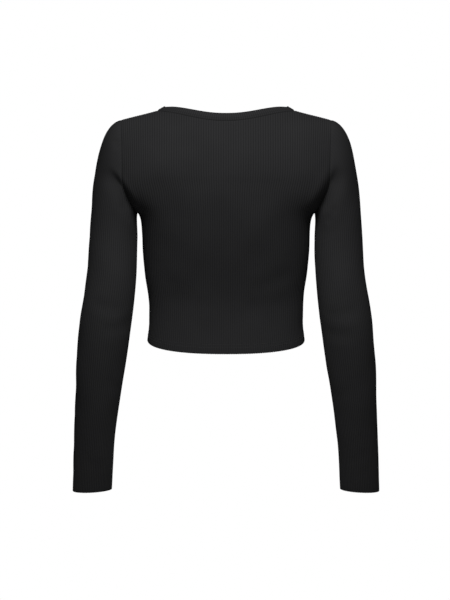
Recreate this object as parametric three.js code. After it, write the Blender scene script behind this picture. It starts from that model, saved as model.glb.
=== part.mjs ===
// A long-sleeved crop top in black rib knit, in the hollow form it has when it is worn.
// Sizes are in millimetres. +Z is up, the front faces -Y and the wearer's left is +X.
// The origin is midway between the two shoulders at the neck opening, where the wearer carries it.
// All the tables give the outside of the cloth, over the ribs' crests.
import * as THREE from "three";

// Cloth
const CLOTH = 1.8; // wall over a rib's crest
const RIB_DEPTH = 0.6;
const PANEL_RIBS = 70; // across the back, and across the front
const SLEEVE_RIBS = 58; // round a sleeve
const SEAM_GAP = 0.3;
const HEM_TURN = 14; // height of the turned-up hem at waist and cuffs
const HEM_LAYER = 1.2; // thickness of that second layer, inside

// Body
const HEM_Z = -373; // at the side seams
const TILT_FADES_Z = -300;
const UNDERARM_Z = -165;
const UNDERARM_X = 141;
const SIDE_FLARE = 6.2; // the side seam turns out into the armpit
const FLARE_LENGTH = 8;
const ACROSS_Z = -108; // where the back and the chest are measured across
const SHOULDER_X = 168;
const NECK_X = 110; // half the neck opening at the shoulder seam
const NECK_Z = -4;
const SHOULDER_FALL = 0.26; // slope of the shoulder seam
const NECK_RISE = 40; // how far the body's line climbs past the neck opening
const NIP_START = 0.55; // share of a panel's half where the nip at the side seam begins

// Outline of the body from the hem up: half width at the side seam, depth behind and in front of it,
// and how far out the curves of the back and the front would run without the nip at the side seam
const BODY = [
  { z: -373, halfWidth: 126.4, behind: 72, before: 84, reachBehind: 126.4, reachBefore: 126.4 },
  { z: -352, halfWidth: 123.6, behind: 68.5, before: 82.5, reachBehind: 123.6, reachBefore: 123.6 },
  { z: -333, halfWidth: 122.8, behind: 66, before: 83, reachBehind: 122.8, reachBefore: 122.8 },
  { z: -314, halfWidth: 123.0, behind: 65.5, before: 85, reachBehind: 123.0, reachBefore: 123.0 },
  { z: -295, halfWidth: 124.8, behind: 67.5, before: 89, reachBehind: 124.8, reachBefore: 124.8 },
  { z: -265, halfWidth: 129.8, behind: 73, before: 98, reachBehind: 129.8, reachBefore: 129.8 },
  { z: -230, halfWidth: 132.8, behind: 81, before: 110, reachBehind: 133.5, reachBefore: 133.2 },
  { z: -200, halfWidth: 134.0, behind: 87, before: 116, reachBehind: 137, reachBefore: 136 },
  { z: -165, halfWidth: 134.8, behind: 91, before: 114, reachBehind: 149, reachBefore: 144 },
  { z: -135, halfWidth: 134.8, behind: 91.5, before: 106, reachBehind: 174, reachBefore: 156 },
  { z: -108, halfWidth: 134.8, behind: 90, before: 96, reachBehind: 196, reachBefore: 168 },
  { z: -60, halfWidth: 134.8, behind: 90, before: 96, reachBehind: 199, reachBefore: 178 },
  { z: -19, halfWidth: 134.8, behind: 90, before: 96, reachBehind: 199, reachBefore: 186 },
];

// Under the armhole the outer ribs spread out to the side seam. They do so from a depth which grows towards
// the armhole, given as a share of the armhole's own depth
const RIB_SPREAD = [
  { z: -373, from: 0 },
  { z: -310, from: 0 },
  { z: -265, from: 0.12 },
  { z: -230, from: 0.3 },
  { z: -200, from: 0.47 },
  { z: -165, from: 0.68 },
  { z: -135, from: 0.88 },
  { z: -108, from: 1 },
];
const SPREAD_POWER = 5;

const BACK = {
  name: "back",
  facing: 1,
  depth: "behind",
  reach: "reachBehind",
  roundness: 2.3,
  acrossX: 165.5,
  acrossY: 55,
  neckDrop: 12.3,
  neckShape: 1.8,
  lean: 0.25,
  hemTilt: 0.235, // the hem hangs lower behind, rise over run
};
const FRONT = {
  name: "front",
  facing: -1,
  depth: "before",
  reach: "reachBefore",
  roundness: 2.2,
  acrossX: 153,
  acrossY: 46,
  neckDrop: 102,
  neckShape: 2.8,
  lean: 0.2,
  hemTilt: 0.14,
};
const ARCH = 2.2; // roundness of the cloth over the shoulder
const LEAN_HEIGHT = 88;

// Rows of points up a panel: heights below the armpit, and shares of the way from there to the top edge
const LOWER_ROWS_Z = [HEM_Z, -335, -285, -230, -182];
const UPPER_ROWS = [0, 0.07, 0.2, 0.4, 0.62, 0.82, 0.94, 1];

// The sleeve's sections down the arm: centre, half width across, half depth, and the section's slopes
const ARM = [
  { z: -205, x: 179.5, y: 8, wide: 38.2, deep: 43, fallX: 0.05, fallY: 0.1 },
  { z: -262, x: 182.2, y: 13, wide: 39.5, deep: 42, fallX: 0.0, fallY: 0.08 },
  { z: -305, x: 187.2, y: 16, wide: 41.3, deep: 41.5, fallX: -0.05, fallY: 0.02 },
  { z: -345, x: 192.6, y: 16, wide: 41.8, deep: 41.5, fallX: -0.06, fallY: -0.04 },
  { z: -390, x: 197.6, y: 12, wide: 40.8, deep: 39.5, fallX: -0.06, fallY: -0.07 },
  { z: -450, x: 203.6, y: 5, wide: 37.0, deep: 35, fallX: -0.06, fallY: -0.08 },
  { z: -530, x: 210.6, y: -3, wide: 32.8, deep: 29, fallX: -0.05, fallY: -0.08 },
  { z: -612, x: 214.3, y: -9, wide: 31.7, deep: 26, fallX: -0.055, fallY: -0.1 },
];
// How the sleeve leaves the armhole, from the shoulder round the back to the armpit and up the front:
// its direction there, and the pull of its curve at the armhole and at the arm's first section
const CAP = [
  { turn: 0, dx: 0.97, dy: 0.0, dz: -0.24, start: 130, end: 190 },
  { turn: 0.25, dx: 0.88, dy: 0.2, dz: -0.42, start: 100, end: 140 },
  { turn: 0.5, dx: 0.6, dy: 0.1, dz: -0.79, start: 60, end: 90 },
  { turn: 0.75, dx: 0.4, dy: 0.25, dz: -0.88, start: 34, end: 55 },
  { turn: 1.0, dx: 0.5, dy: 0.0, dz: -0.87, start: 16, end: 34 },
  { turn: 1.25, dx: 0.4, dy: -0.25, dz: -0.88, start: 34, end: 55 },
  { turn: 1.5, dx: 0.6, dy: -0.15, dz: -0.79, start: 60, end: 90 },
  { turn: 1.75, dx: 0.88, dy: -0.2, dz: -0.42, start: 100, end: 140 },
];
const CAP_ROWS = [0, 0.09, 0.26, 0.48, 0.74];

// Neckband: a folded strip sewn round the neck opening, as a section across and out of the cloth
const BAND_WIDTH = 14;
const BAND_PROUD = 0.7; // how far it stands out of the panels
const BAND_INNER = 1.9;
const BAND_ROUND = 1.0;
const BAND_STEP = 9; // longest distance between its sections
const BAND_BEND = 0.12; // most that its edge bends between sections, in radians

const SMALL = 1e-3; // step for measuring a surface's direction

// Colours
const KNIT_BLACK = 0x2b2b2c;
const BAND_BLACK = 0x29292a;

function vector(x, y, z) {
  return new THREE.Vector3(x, y, z);
}

// A smooth curve through a table's column, over its key
function curveThrough(rows, key, column) {
  const slope = rows.map((row, i) => {
    const low = rows[Math.max(i - 1, 0)];
    const high = rows[Math.min(i + 1, rows.length - 1)];
    return (high[column] - low[column]) / (high[key] - low[key]);
  });
  return (at) => {
    let i = 0;
    while (i < rows.length - 2 && (at - rows[i + 1][key]) * (rows[1][key] - rows[0][key]) > 0) i++;
    const span = rows[i + 1][key] - rows[i][key];
    const t = THREE.MathUtils.clamp((at - rows[i][key]) / span, 0, 1);
    const t2 = t * t;
    const t3 = t2 * t;
    return (
      (2 * t3 - 3 * t2 + 1) * rows[i][column] +
      (t3 - 2 * t2 + t) * span * slope[i] +
      (3 * t2 - 2 * t3) * rows[i + 1][column] +
      (t3 - t2) * span * slope[i + 1]
    );
  };
}

const halfWidth = curveThrough(BODY, "z", "halfWidth");
const ribSpread = curveThrough(RIB_SPREAD, "z", "from");
const BODY_CURVES = Object.fromEntries(
  ["behind", "before", "reachBehind", "reachBefore"].map((column) => [
    column,
    curveThrough(BODY, "z", column),
  ]),
);

// Height of the shoulder line, which runs on towards the neck inside the opening
function ridgeHeight(x) {
  const inside = Math.max(0, 1 - x / NECK_X);
  return NECK_Z - SHOULDER_FALL * (x - NECK_X) + NECK_RISE * inside * inside;
}

// Top edge of a panel: neckline, then shoulder seam
function topHeight(side, x) {
  if (x >= NECK_X) return ridgeHeight(x);
  return NECK_Z - side.neckDrop * (1 - Math.pow(x / NECK_X, side.neckShape));
}

// A panel's outer edge at a height: its distance from the centre, and its depth from the side seam
function edgeAt(side, z) {
  if (z <= UNDERARM_Z) {
    return { x: halfWidth(z) + SIDE_FLARE * Math.exp((z - UNDERARM_Z) / FLARE_LENGTH), y: 0 };
  }
  if (z <= ACROSS_Z) {
    const t = (z - UNDERARM_Z) / (ACROSS_Z - UNDERARM_Z);
    const rise = Math.pow(1 - Math.pow(1 - t, ARCH), 1 / ARCH);
    return {
      x: UNDERARM_X + (side.acrossX - UNDERARM_X) * Math.sin((t * Math.PI) / 2),
      y: side.acrossY * rise,
    };
  }
  const top = ridgeHeight(SHOULDER_X);
  const t = Math.min(1, (z - ACROSS_Z) / (top - ACROSS_Z));
  return { x: side.acrossX + (SHOULDER_X - side.acrossX) * t * t, y: side.acrossY };
}

// A panel's curve at a height. It would run out to its reach; end is where it stops for the panel's edge,
// and the nip draws it in there, so that it meets the edge.
function sectionAt(side, z) {
  const edge = edgeAt(side, z);
  const depth = BODY_CURVES[side.depth](z);
  const reach = BODY_CURVES[side.reach](z);
  const n = side.roundness;
  const end = reach * Math.pow(1 - Math.pow(edge.y / depth, n), 1 / n);
  return { edge, depth, reach, end, nip: end - edge.x };
}

function nipped(section, share, x) {
  const t = THREE.MathUtils.clamp((share - NIP_START) / (1 - NIP_START), 0, 1);
  return x - section.nip * t * t * (3 - 2 * t);
}

function depthOn(side, section, x) {
  const n = side.roundness;
  return section.depth * Math.pow(Math.max(0, 1 - Math.pow(x / section.reach, n)), 1 / n);
}

// Where a share of the way round the section lies, as a share of its width
const SECTION_STEPS = 240;
const measured = new Map();
function widthShare(side, z, share) {
  const level = Math.min(z, ACROSS_Z);
  const key = side.name + level.toFixed(4);
  if (!measured.has(key)) {
    const section = sectionAt(side, level);
    const xs = [0];
    const lengths = [0];
    const spreadY = Math.max(section.edge.y, side.acrossY * ribSpread(level));
    let spread = 0;
    for (let i = 1; i <= SECTION_STEPS; i++) {
      const x = section.end * Math.sin(((i / SECTION_STEPS) * Math.PI) / 2);
      const rise = depthOn(side, section, x) - depthOn(side, section, xs[i - 1]);
      lengths.push(lengths[i - 1] + Math.hypot(x - xs[i - 1], rise));
      xs.push(x);
      if (depthOn(side, section, x) >= spreadY) spread = lengths[i];
    }
    measured.set(key, { xs, lengths, spread });
  }
  const { xs, lengths, spread } = measured.get(key);
  const kept = spread / lengths[SECTION_STEPS];
  const goal = (share * kept + Math.pow(share, SPREAD_POWER) * (1 - kept)) * lengths[SECTION_STEPS];
  let i = 0;
  while (i < SECTION_STEPS - 1 && lengths[i + 1] < goal) i++;
  const t = (goal - lengths[i]) / (lengths[i + 1] - lengths[i]);
  return (xs[i] + t * (xs[i + 1] - xs[i])) / xs[SECTION_STEPS];
}

// A point on a panel. across runs from -1 to 1 between its side edges, and up is a height below the
// armpit, or 0 to 1 for the share of the way from the armpit to the top edge.
function panelPoint(side, across, row) {
  const share = Math.min(1, Math.abs(across));
  let z = row.z;
  if (row.z === undefined) {
    const topX = widthShare(side, ACROSS_Z, share) * SHOULDER_X;
    z = UNDERARM_Z + (topHeight(side, topX) - UNDERARM_Z) * row.up;
  }
  const section = sectionAt(side, z);
  const along = widthShare(side, z, share) * section.end;
  const x = nipped(section, share, along);
  let y = depthOn(side, section, along);
  if (z > ACROSS_Z) {
    const ridge = ridgeHeight(x);
    const below = Math.max(0, Math.min(1, (ridge - z) / (ridge - ACROSS_Z)));
    const arch = Math.pow(1 - Math.pow(1 - below, ARCH), 1 / ARCH);
    y *= arch * (1 - side.lean * Math.pow((z - ACROSS_Z) / LEAN_HEIGHT, 1.5));
  }
  if (row.z !== undefined && z < TILT_FADES_Z) {
    const t = (TILT_FADES_Z - z) / (TILT_FADES_Z - HEM_Z);
    z -= side.facing * y * side.hemTilt * t * t * (3 - 2 * t);
  }
  return vector(Math.sign(across) * x, side.facing * y, z);
}

function rowStep(row, step) {
  if (row.z !== undefined) return { z: Math.min(row.z + step * 100, UNDERARM_Z) };
  return { up: row.up + step };
}

// The outward direction of a panel at a point
function panelNormal(side, across, row) {
  const step = SMALL * 4;
  const right = panelPoint(side, Math.min(1, across + step), row);
  const left = panelPoint(side, Math.max(-1, across - step), row);
  const atTop = row.up !== undefined && row.up > 1 - step;
  const atFoot = row.up === 0 || row.z === HEM_Z;
  const above = panelPoint(side, across, atTop ? row : rowStep(row, step));
  const below = panelPoint(side, across, atFoot ? row : rowStep(row, -step));
  const normal = right.sub(left).cross(above.sub(below)).multiplyScalar(-side.facing).normalize();
  const topX = widthShare(side, ACROSS_Z, Math.abs(across)) * SHOULDER_X;
  if (atTop && topX >= NECK_X - 0.01) return vector(Math.sign(across) * SHOULDER_FALL, 0, 1).normalize();
  if (Math.abs(across) === 1 && row.z !== undefined) normal.setY(0).normalize();
  return normal;
}

// The share of the way across at which a panel's top edge reaches the neck's corner
function cornerShare(side) {
  let low = 0;
  let high = 1;
  for (let i = 0; i < 40; i++) {
    const middle = (low + high) / 2;
    if (widthShare(side, ACROSS_Z, middle) * SHOULDER_X < NECK_X) low = middle;
    else high = middle;
  }
  return (low + high) / 2;
}

// Columns of points across a panel, two for each rib, with one on each corner of the neck
function panelColumns(side) {
  const half = PANEL_RIBS;
  const corner = cornerShare(side);
  const cornerColumn = Math.round(corner * half);
  const columns = [];
  for (let k = -half; k <= half; k++) {
    const step = Math.abs(k);
    const share =
      step <= cornerColumn
        ? (step / cornerColumn) * corner
        : 1 - ((half - step) / (half - cornerColumn)) * (1 - corner);
    columns.push(Math.sign(k) * share);
  }
  return { columns, cornerColumn, half };
}

// The columns at which the neckband is fixed: both corners, and wherever the neck edge bends or runs far
function neckColumns(side) {
  const { columns, cornerColumn, half } = panelColumns(side);
  const place = (k) => panelPoint(side, columns[k], { up: 1 });
  const first = half - cornerColumn;
  const chosen = [first];
  for (let k = first + 1; k < half; k++) {
    const from = place(chosen[chosen.length - 1]);
    const here = place(k).sub(from);
    const next = place(k + 1).sub(from);
    if (next.length() > BAND_STEP || here.angleTo(next) > BAND_BEND) chosen.push(k);
  }
  return [...chosen, half, ...chosen.map((k) => 2 * half - k).reverse()];
}

// Collects points and triangles for one closed wall
class Wall {
  constructor() {
    this.points = [];
    this.triangles = [];
  }
  add(point) {
    this.points.push(point);
    return this.points.length - 1;
  }
  sheet(grid, outward, closed = false) {
    for (let j = 0; j + 1 < grid.length; j++) {
      const count = closed ? grid[j].length : grid[j].length - 1;
      for (let k = 0; k < count; k++) {
        const next = (k + 1) % grid[j].length;
        const [a, b, c, d] = [grid[j][k], grid[j][next], grid[j + 1][k], grid[j + 1][next]];
        const oneWay = this.points[a].distanceTo(this.points[d]);
        const otherWay = this.points[b].distanceTo(this.points[c]);
        const leaning = oneWay > otherWay + 0.01;
        const pair = leaning ? [[a, b, c], [b, d, c]] : [[a, b, d], [a, d, c]];
        this.triangles.push(...(outward ? pair : pair.map(([p, q, r]) => [p, r, q])));
      }
    }
  }
  // Joins two rows of points of any counts. Each entry is [place along the row, point].
  join(outer, inner) {
    let o = 0;
    let i = 0;
    while (o < outer.length - 1 || i < inner.length - 1) {
      const outerNext = o < outer.length - 1 ? outer[o + 1][0] : Infinity;
      const innerNext = i < inner.length - 1 ? inner[i + 1][0] : Infinity;
      if (outerNext <= innerNext) {
        this.triangles.push([outer[o + 1][1], outer[o][1], inner[i][1]]);
        o++;
      } else {
        this.triangles.push([inner[i][1], inner[i + 1][1], outer[o][1]]);
        i++;
      }
    }
  }
  mesh(name, colour, turned) {
    const geometry = new THREE.BufferGeometry();
    geometry.setAttribute(
      "position",
      new THREE.Float32BufferAttribute(this.points.flatMap((p) => [p.x, p.y, p.z]), 3),
    );
    geometry.setIndex(this.triangles.flatMap(([a, b, c]) => (turned ? [a, c, b] : [a, b, c])));
    geometry.computeVertexNormals();
    const material = new THREE.MeshStandardMaterial({ color: colour, roughness: 0.9, metalness: 0 });
    const mesh = new THREE.Mesh(geometry, material);
    mesh.name = name;
    return mesh;
  }
}

// The armhole seam. Each stop lies on a row of the panel's edge: its place, and the way through the cloth.
const upperRows = UPPER_ROWS.map((up) => ({ up }));

function capSetting(turn, column) {
  const count = CAP.length;
  const place = ((turn % 2) + 2) % 2 / (2 / count);
  const i = Math.floor(place);
  const t = place - i;
  const at = (k) => CAP[(k + count) % count][column];
  const [p0, p1, p2, p3] = [at(i - 1), at(i), at(i + 1), at(i + 2)];
  const square = (2 * p0 - 5 * p1 + 4 * p2 - p3) * t * t;
  const cube = (3 * p1 - p0 - 3 * p2 + p3) * t * t * t;
  return 0.5 * (2 * p1 + (p2 - p0) * t + square + cube);
}

function capDirection(turn) {
  return vector(capSetting(turn, "dx"), capSetting(turn, "dy"), capSetting(turn, "dz")).normalize();
}

function armholeStops() {
  const backEdge = upperRows.map((row) => ({ side: BACK, row, place: panelPoint(BACK, 1, row) }));
  const frontEdge = upperRows.map((row) => ({ side: FRONT, row, place: panelPoint(FRONT, 1, row) }));
  backEdge.forEach((stop) => (stop.panelNormal = panelNormal(BACK, 1, stop.row)));
  frontEdge.forEach((stop) => (stop.panelNormal = panelNormal(FRONT, 1, stop.row)));
  const loop = [...backEdge.slice().reverse(), ...frontEdge.slice(1)];
  // distance along each half, as a turn from 0 at the shoulder to 1 at the armpit and 2 at the shoulder again
  const half = backEdge.length - 1;
  for (const [from, to, base] of [
    [0, half, 0],
    [half, loop.length - 1, 1],
  ]) {
    let length = 0;
    const lengths = [0];
    for (let i = from; i < to; i++) {
      length += loop[i].place.distanceTo(loop[i + 1].place);
      lengths.push(length);
    }
    for (let i = from; i <= to; i++) loop[i].turn = base + lengths[i - from] / length;
  }
  loop[half].turn = 1;
  loop.forEach((stop, i) => {
    const before = loop[Math.max(i - 1, 0)];
    const after = loop[Math.min(i + 1, loop.length - 1)];
    const along = after.place.clone().sub(before.place).normalize();
    if (i === 0 || i === loop.length - 1) along.set(0, 1, 0);
    if (i === half) along.set(0, -1, 0);
    const sleeveNormal = along.clone().cross(capDirection(stop.turn)).normalize();
    stop.along = along;
    stop.sleeveNormal = sleeveNormal;
  });
  return { loop, half };
}

const armhole = armholeStops();

// The sleeve's own outward direction at the seam points away from the arm's middle
armhole.loop.forEach((stop) => {
  const arm = vector(ARM[0].x, ARM[0].y, stop.place.z);
  const out = stop.place.clone().sub(arm);
  const underarm = stop === armhole.loop[armhole.half];
  const reference = underarm ? vector(-1, 0, -0.3) : stop.panelNormal.clone().add(out.normalize());
  if (stop.sleeveNormal.dot(reference) < 0) stop.sleeveNormal.negate();
  stop.through = stop.panelNormal.clone().add(stop.sleeveNormal).normalize();
  stop.stretch = Math.min(1.4, 1 / Math.max(0.3, stop.through.dot(stop.panelNormal)));
  const outOfPanel = stop.along.clone().cross(stop.through).normalize();
  if (outOfPanel.dot(capDirection(stop.turn)) < 0) outOfPanel.negate();
  stop.outOfPanel = outOfPanel;
});

// A stop's point on one side of the seam, at a depth through the cloth
function seamPoint(stop, gap, depth) {
  return stop.place
    .clone()
    .addScaledVector(stop.outOfPanel, gap)
    .addScaledVector(stop.through, -depth * stop.stretch);
}

function seamAt(turn, gap, depth) {
  const { loop } = armhole;
  let i = 0;
  while (i < loop.length - 2 && loop[i + 1].turn < turn) i++;
  const t = (turn - loop[i].turn) / (loop[i + 1].turn - loop[i].turn);
  return seamPoint(loop[i], gap, depth).lerp(seamPoint(loop[i + 1], gap, depth), t);
}

// One of the two body panels
function makePanel(side) {
  const { columns, cornerColumn, half } = panelColumns(side);
  const wall = new Wall();
  const lower = LOWER_ROWS_Z.map((z) => ({ z }));
  const rows = [...lower, ...upperRows];
  const turnTop = HEM_Z + HEM_TURN;
  const innerRows = [
    { z: HEM_Z, extra: HEM_LAYER },
    { z: turnTop, extra: HEM_LAYER },
    { z: turnTop + SEAM_GAP, extra: 0 },
    ...lower.slice(1),
    ...upperRows,
  ];
  const last = columns.length - 1;
  const kept = new Set([0, 2, 4, last - 4, last - 2, last]);
  for (let k = 0; k <= last; k += 10) kept.add(k);
  for (const corner of [half - cornerColumn, half + cornerColumn]) {
    for (const beside of [-4, -2, -1, 0, 1, 3]) kept.add(corner + (corner < half ? -beside : beside));
  }
  const innerColumns = [...kept].sort((a, b) => a - b);

  const shift = vector(0, (side.facing * SEAM_GAP) / 2, 0);
  const halfLoop =
    side === BACK ? armhole.loop.slice(0, armhole.half + 1).reverse() : armhole.loop.slice(armhole.half);
  const point = (k, row, depth) => {
    const across = columns[k];
    if (Math.abs(across) === 1 && row.up !== undefined) {
      const stop = halfLoop[UPPER_ROWS.indexOf(row.up)];
      const onEdge = seamPoint(stop, -SEAM_GAP / 2, depth);
      onEdge.x *= Math.sign(across);
      return onEdge.add(shift);
    }
    const normal = panelNormal(side, across, row);
    return panelPoint(side, across, row).addScaledVector(normal, -depth).add(shift);
  };
  const ribDepth = (k) => ((k - half) % 2 === 0 ? 0 : RIB_DEPTH);
  const outer = rows.map((row) => columns.map((_, k) => wall.add(point(k, row, ribDepth(k)))));
  const allColumns = columns.map((_, k) => k);
  const isShoulder = (k) => Math.abs(k - half) > cornerColumn;
  const topColumns = [...innerColumns.filter(isShoulder), ...neckColumns(side)].sort((a, b) => a - b);
  const columnsIn = (row) => (row.up === 1 ? topColumns : innerColumns);
  const inner = innerRows.map((row) =>
    columnsIn(row).map((k) => wall.add(point(k, row, CLOTH + (row.extra ?? 0)))),
  );
  const top = inner.length - 1;
  wall.sheet(outer, true);
  wall.sheet(inner.slice(0, top), false);
  const placed = (indices, places) => indices.map((index, i) => [places[i], index]);
  wall.join(placed(inner[top - 1], innerColumns), placed(inner[top], topColumns));

  // place round the edge: along the hem, up one side, back along the top and down the other side
  const heightOf = (row) =>
    row.z !== undefined ? (row.z - HEM_Z) / (UNDERARM_Z - HEM_Z) / 2 : 0.5 + row.up / 2;
  const edgeLoop = (grid, rowList, columnList, topList) => {
    const end = rowList.length - 1;
    const sides = rowList.slice(1, end).map((row, j) => [heightOf(row), grid[j + 1]]);
    return [
      ...placed(grid[0], columnList.map((k) => k / last)),
      ...sides.map(([height, row]) => [1 + height, row[row.length - 1]]),
      ...placed(grid[end], topList.map((k) => 3 - k / last)).reverse(),
      ...sides.map(([height, row]) => [4 - height, row[0]]).reverse(),
      [4, grid[0][0]],
    ];
  };
  wall.join(
    edgeLoop(outer, rows, allColumns, allColumns),
    edgeLoop(inner, innerRows, innerColumns, topColumns),
  );
  return wall.mesh(side.name, KNIT_BLACK, side === BACK);
}

// The sleeve's outside, on the wearer's left
const armCurve = Object.fromEntries(
  ["x", "y", "wide", "deep", "fallX", "fallY"].map((column) => [column, curveThrough(ARM, "z", column)]),
);
const ARM_TOP = ARM[0].z;
const CUFF_Z = ARM[ARM.length - 1].z;

function armPoint(turn, z) {
  const angle = turn * Math.PI;
  const dx = armCurve.wide(z) * Math.cos(angle);
  const dy = armCurve.deep(z) * Math.sin(angle);
  return vector(
    armCurve.x(z) + dx,
    armCurve.y(z) + dy,
    z + armCurve.fallX(z) * dx + armCurve.fallY(z) * dy,
  );
}

function sleevePoint(turn, row) {
  if (row.z !== undefined) return armPoint(turn, row.z);
  const s = row.cap;
  const start = seamAt(((turn % 2) + 2) % 2, SEAM_GAP / 2, 0);
  const end = armPoint(turn, ARM_TOP);
  const down = armPoint(turn, ARM_TOP - 10).sub(end).normalize();
  const leave = capDirection(turn).multiplyScalar(capSetting(turn, "start"));
  const arrive = down.multiplyScalar(capSetting(turn, "end"));
  const s2 = s * s;
  const s3 = s2 * s;
  return start
    .multiplyScalar(2 * s3 - 3 * s2 + 1)
    .addScaledVector(leave, s3 - 2 * s2 + s)
    .addScaledVector(end, 3 * s2 - 2 * s3)
    .addScaledVector(arrive, s3 - s2);
}

function sleeveNormal(turn, row) {
  const step = SMALL * 20;
  const along = sleevePoint(turn + step, row).sub(sleevePoint(turn - step, row));
  const low = row.z !== undefined ? { z: Math.max(row.z - 2, CUFF_Z) } : { cap: Math.min(1, row.cap + step) };
  const high = row.z !== undefined ? { z: Math.min(row.z + 2, ARM_TOP) } : { cap: row.cap - step };
  const down = sleevePoint(turn, low).sub(sleevePoint(turn, high));
  return down.cross(along).normalize();
}

// Where the sleeve's columns lie round the arm, so that one starts at each stop of the armhole
function sleeveColumns() {
  const count = 2 * SLEEVE_RIBS;
  const { loop } = armhole;
  const turns = [];
  const atStops = [];
  let used = 0;
  for (let i = 0; i + 1 < loop.length; i++) {
    atStops.push(used);
    const until = Math.round((loop[i + 1].turn / 2) * count);
    for (let k = used; k < until; k++) {
      turns.push(loop[i].turn + ((k - used) / (until - used)) * (loop[i + 1].turn - loop[i].turn));
    }
    used = until;
  }
  return { turns, atStops };
}

function makeSleeve(name, handed) {
  const wall = new Wall();
  const { turns, atStops } = sleeveColumns();
  const count = turns.length;
  const armRows = ARM.map(({ z }) => ({ z }));
  const rows = [...CAP_ROWS.map((cap) => ({ cap })), ...armRows];
  const turnTop = CUFF_Z + HEM_TURN;
  const innerRows = [
    ...rows.slice(0, -1),
    { z: turnTop + SEAM_GAP },
    { z: turnTop, extra: HEM_LAYER },
    { z: CUFF_Z, extra: HEM_LAYER },
  ];
  const point = (k, row, depth) => {
    const turn = turns[k];
    const made =
      row.cap === 0
        ? seamAt(turn, SEAM_GAP / 2, depth)
        : sleevePoint(turn, row).addScaledVector(sleeveNormal(turn, row), -depth);
    made.x *= handed;
    return made;
  };
  const INNER_STEP = 7;
  const innerColumns = turns.map((_, k) => k).filter((k) => k % INNER_STEP === 0 && k < count - 3);
  const ribDepth = (k) => (k % 2 === 0 ? 0 : RIB_DEPTH);
  const outer = rows.map((row) => turns.map((_, k) => wall.add(point(k, row, ribDepth(k)))));
  const columnsIn = (row) => (row.cap === 0 ? atStops : innerColumns);
  const inner = innerRows.map((row) =>
    columnsIn(row).map((k) => wall.add(point(k, row, CLOTH + (row.extra ?? 0)))),
  );
  wall.sheet(outer, true, true);
  wall.sheet(inner.slice(1), false, true);
  // the rings at both ends, the one at the cuff run the other way round
  const ring = (indices, places) => [...indices.map((index, i) => [places[i], index]), [count, indices[0]]];
  const back = (list) => list.map(([place, index]) => [count - place, index]).reverse();
  const allColumns = turns.map((_, k) => k);
  wall.join(ring(inner[0], atStops), ring(inner[1], innerColumns));
  wall.join(ring(outer[0], allColumns), ring(inner[0], atStops));
  const cuff = back(ring(outer[outer.length - 1], allColumns));
  wall.join(cuff, back(ring(inner[inner.length - 1], innerColumns)));
  return wall.mesh(name, KNIT_BLACK, handed > 0);
}

// The neckband follows the panels' own neck edges
function neckStops() {
  const stops = [];
  for (const side of [BACK, FRONT]) {
    const { columns } = panelColumns(side);
    const list = neckColumns(side).map((k) => {
      const place = panelPoint(side, columns[k], { up: 1 });
      place.y += (side.facing * SEAM_GAP) / 2;
      return { place, out: panelNormal(side, columns[k], { up: 1 }) };
    });
    if (side === BACK) list.reverse();
    list[0].place.y = 0; // on the shoulder seam
    stops.push(...list.slice(0, -1));
  }
  return stops;
}

function makeNeckband() {
  const stops = neckStops();
  const count = stops.length;
  const profile = [
    [0, -BAND_INNER],
    [0, BAND_PROUD],
    [BAND_WIDTH - BAND_ROUND, BAND_PROUD],
    [BAND_WIDTH, BAND_PROUD - BAND_ROUND],
    [BAND_WIDTH, BAND_ROUND - BAND_INNER],
    [BAND_WIDTH - BAND_ROUND, -BAND_INNER],
  ];
  const wall = new Wall();
  const grid = [];
  for (let s = 0; s < count; s++) {
    const here = stops[s];
    const before = stops[(s + count - 1) % count].place.clone().sub(here.place).normalize();
    const after = stops[(s + 1) % count].place.clone().sub(here.place).normalize();
    const along = after.sub(before).normalize();
    const inward = along.clone().cross(here.out).normalize();
    if (inward.dot(vector(-here.place.x, 0, 60)) < 0) inward.negate();
    const out = inward.clone().cross(along).normalize();
    if (out.dot(here.out) < 0) out.negate();
    grid.push(
      profile.map(([up, over]) =>
        wall.add(
          here.place
            .clone()
            .addScaledVector(inward, up + SEAM_GAP)
            .addScaledVector(out, over),
        ),
      ),
    );
  }
  grid.push(grid[0]);
  wall.sheet(grid, true, true);
  return wall.mesh("neckband", BAND_BLACK, true);
}

const top = new THREE.Group();
top.add(makePanel(BACK));
top.add(makePanel(FRONT));
top.add(makeSleeve("sleeve_left", 1));
top.add(makeSleeve("sleeve_right", -1));
top.add(makeNeckband());

export default top;
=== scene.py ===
"""A long-sleeved crop top in black rib knit, hollow, in the form it has when it is worn.

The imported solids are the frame. Each cut piece of cloth starts as a flat grid, as the piece is cut
flat, and its points are then moved to where the worn cloth lies, with its ribs, its turned-up hem and
its creases. Cloth sizes are in millimetres and become metres when a piece's points are placed.
"""

import math

import bpy
import numpy as np
from mathutils import Matrix, Vector


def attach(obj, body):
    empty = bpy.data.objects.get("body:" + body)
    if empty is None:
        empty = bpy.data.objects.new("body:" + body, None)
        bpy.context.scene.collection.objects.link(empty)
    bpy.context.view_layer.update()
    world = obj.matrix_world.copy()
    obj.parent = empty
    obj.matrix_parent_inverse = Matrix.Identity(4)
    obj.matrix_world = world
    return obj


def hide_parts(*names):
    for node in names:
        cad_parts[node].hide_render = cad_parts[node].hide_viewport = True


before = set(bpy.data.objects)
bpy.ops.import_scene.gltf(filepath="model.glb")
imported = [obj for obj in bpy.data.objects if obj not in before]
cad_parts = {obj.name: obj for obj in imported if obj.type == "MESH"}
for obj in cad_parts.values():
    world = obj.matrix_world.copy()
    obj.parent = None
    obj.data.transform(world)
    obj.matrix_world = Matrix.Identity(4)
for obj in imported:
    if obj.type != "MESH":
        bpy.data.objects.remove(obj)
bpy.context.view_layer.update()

MM = 0.001

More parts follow.
